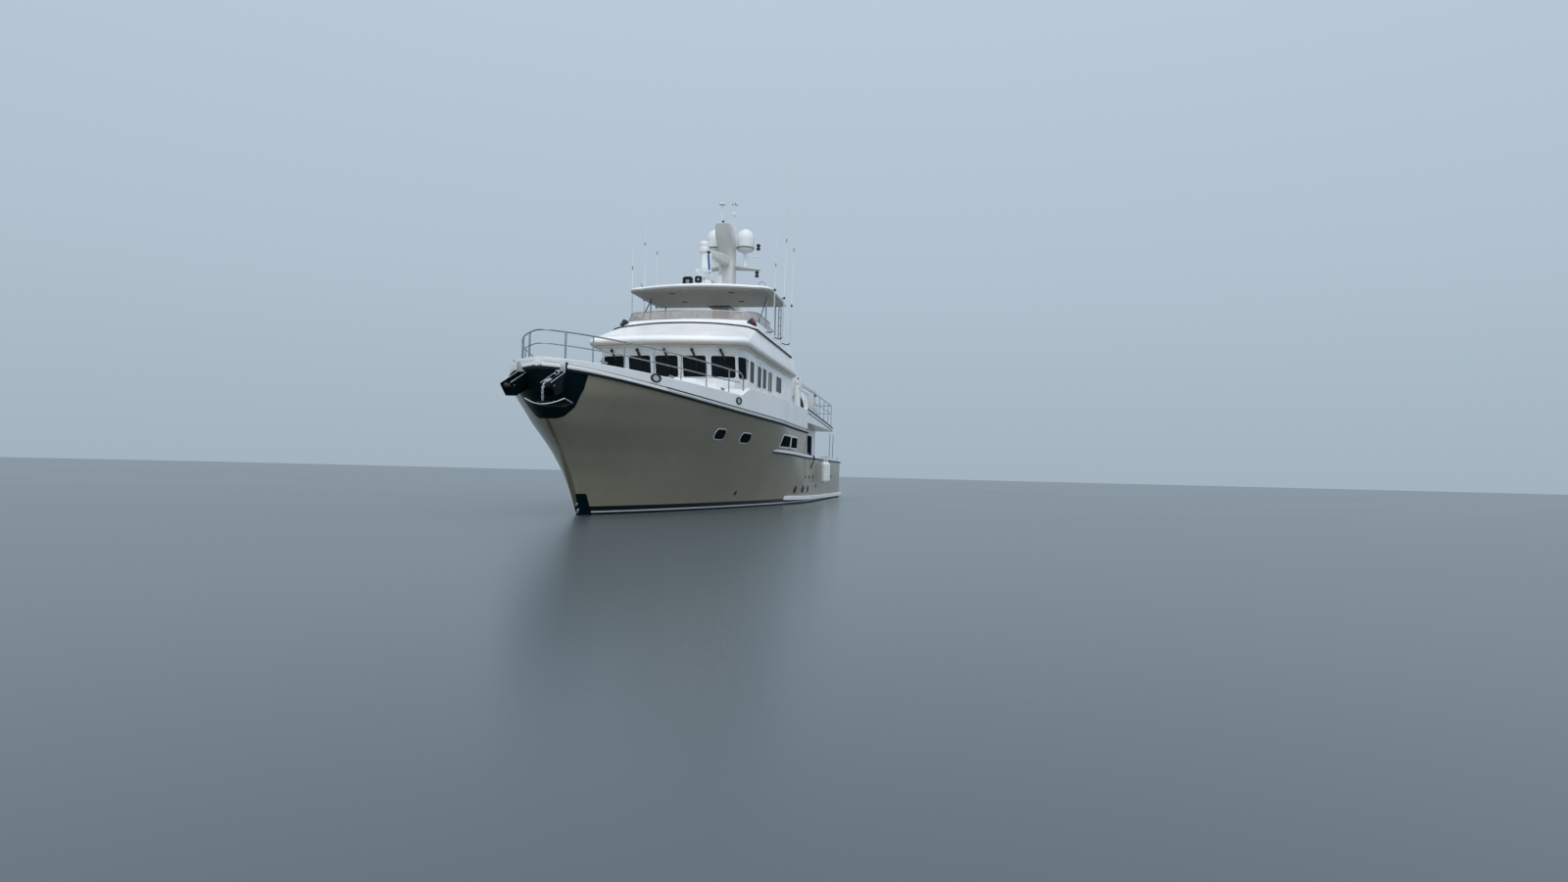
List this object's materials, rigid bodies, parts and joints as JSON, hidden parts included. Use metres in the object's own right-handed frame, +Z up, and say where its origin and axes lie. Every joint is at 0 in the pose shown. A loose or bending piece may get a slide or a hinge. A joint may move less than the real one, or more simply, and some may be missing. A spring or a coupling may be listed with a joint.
{
  "type": "motor yacht",
  "caption": "Pilothouse expedition motor yacht with a high flared bow, aft boat deck with crane and tender, flybridge under a hardtop, mast, propeller and rudder.",
  "frame": {"origin": "on the waterline, amidships, on the centreline", "axes": "+X to the bow, +Y to port, +Z up"},
  "size_m": [25.965, 6.5674, 14.8101],
  "materials": {
    "hull_paint": "gloss taupe-grey yacht enamel",
    "white_gelcoat": "gloss white gelcoat",
    "deck_paint": "pale non-slip deck",
    "stainless": "polished stainless",
    "galvanised": "bright galvanised",
    "black_steel": "gloss green-black paint",
    "antifouling": "matt antifouling",
    "bronze": "polished bronze",
    "cover_fabric": "pale grey woven cover",
    "rubber": "black rubber",
    "fender_vinyl": "white vinyl",
    "white_plastic": "satin white",
    "smoked_acrylic": "smoked, clear"
  },
  "bodies": {
    "yacht": {"anchor": "galvanised", "anchor_roller_port": "black_steel", "anchor_roller_starboard": "black_steel", "boat_deck": "white_gelcoat", "boat_deck_rail": "stainless", "bow_plate": "black_steel", "bow_rail": "stainless", "bulwark": "white_gelcoat", "crane_pedestal": "white_gelcoat", "dome_port": "white_plastic", "dome_starboard": "white_plastic", "fender_1": "fender_vinyl", "fender_2": "fender_vinyl", "flybridge": "white_gelcoat", "hardtop": "white_gelcoat", "hardtop_frame_port": "stainless", "hardtop_frame_starboard": "stainless", "helm_console": "white_gelcoat", "helm_seat": "cover_fabric", "hull": "hull_paint", "ladder": "stainless", "mast": "white_gelcoat", "mast_trunk": "white_gelcoat", "pilothouse": "white_gelcoat", "portuguese_bridge": "white_gelcoat", "radar_pedestal": "white_gelcoat", "rub_rail_lower_port": "white_gelcoat", "rub_rail_lower_starboard": "white_gelcoat", "rub_rail_upper": "stainless", "saloon_house": "white_gelcoat", "searchlight_port": "white_gelcoat", "searchlight_starboard": "white_gelcoat", "stem_plate": "black_steel", "swim_platform": "white_gelcoat", "tender": "cover_fabric", "tender_chock_1": "rubber", "tender_chock_2": "rubber", "upper_deck": "deck_paint", "whip_a_port": "white_plastic", "whip_a_starboard": "white_plastic", "whip_b_port": "white_plastic", "whip_b_starboard": "white_plastic", "whip_c_port": "white_plastic", "whip_c_starboard": "white_plastic", "windlass_port": "galvanised", "windlass_starboard": "galvanised", "windscreen": "smoked_acrylic"},
    "propeller_body": {"propeller": "bronze", "shaft": "stainless"},
    "rudder_body": {"rudder": "antifouling"},
    "radar_body": {"radar_scanner": "white_plastic"},
    "pilothouse_door_port_body": {"pilothouse_door_port": "white_gelcoat"},
    "pilothouse_door_starboard_body": {"pilothouse_door_starboard": "white_gelcoat"},
    "saloon_door_body": {"saloon_door": "white_gelcoat"},
    "transom_door_body": {"transom_door": "hull_paint"},
    "foredeck_hatch_body": {"foredeck_hatch": "white_gelcoat"},
    "crane_post_body": {"crane_post": "white_gelcoat"},
    "crane_boom_body": {"crane_boom": "white_gelcoat"}
  },
  "joints": [
    {"name": "propeller_spin", "type": "hinge", "parent": "yacht", "child": "propeller_body", "pos_m": [-7.95, 0, -1.62], "axis": [1, 0, 0], "continuous": true},
    {"name": "rudder_turn", "type": "hinge", "parent": "yacht", "child": "rudder_body", "pos_m": [-9.15, 0, -1.5], "axis": [0, 0, 1], "range_deg": [-35, 35]},
    {"name": "radar_spin", "type": "hinge", "parent": "yacht", "child": "radar_body", "pos_m": [0.5, -0.36, 7.5], "axis": [0, 0, 1], "continuous": true},
    {"name": "pilothouse_door_port_swing", "type": "hinge", "parent": "yacht", "child": "pilothouse_door_port_body", "pos_m": [3.457, 2.181, 3.5], "axis": [0, 0, -1], "range_deg": [0, 90]},
    {"name": "pilothouse_door_starboard_swing", "type": "hinge", "parent": "yacht", "child": "pilothouse_door_starboard_body", "pos_m": [3.457, -2.181, 3.5], "axis": [0, 0, 1], "range_deg": [0, 90]},
    {"name": "saloon_door_swing", "type": "hinge", "parent": "yacht", "child": "saloon_door_body", "pos_m": [-7.011, 0.447, 1.6], "axis": [0, 0, -1], "range_deg": [0, 110]},
    {"name": "transom_door_swing", "type": "hinge", "parent": "yacht", "child": "transom_door_body", "pos_m": [-11.111, -1.597, 1.1], "axis": [0, 0, 1], "range_deg": [0, 100]},
    {"name": "foredeck_hatch_lift", "type": "hinge", "parent": "yacht", "child": "foredeck_hatch_body", "pos_m": [10.011, 0, 2.699], "axis": [0, 1, 0], "range_deg": [0, 80]},
    {"name": "crane_slew", "type": "hinge", "parent": "yacht", "child": "crane_post_body", "pos_m": [-3.5, 2.2, 3.5], "axis": [0, 0, 1], "range_deg": [-90, 90]},
    {"name": "crane_luff", "type": "hinge", "parent": "crane_post_body", "child": "crane_boom_body", "pos_m": [-3.65, 2.2, 4.475], "axis": [0, 1, 0], "range_deg": [0, 60]}
  ]
}
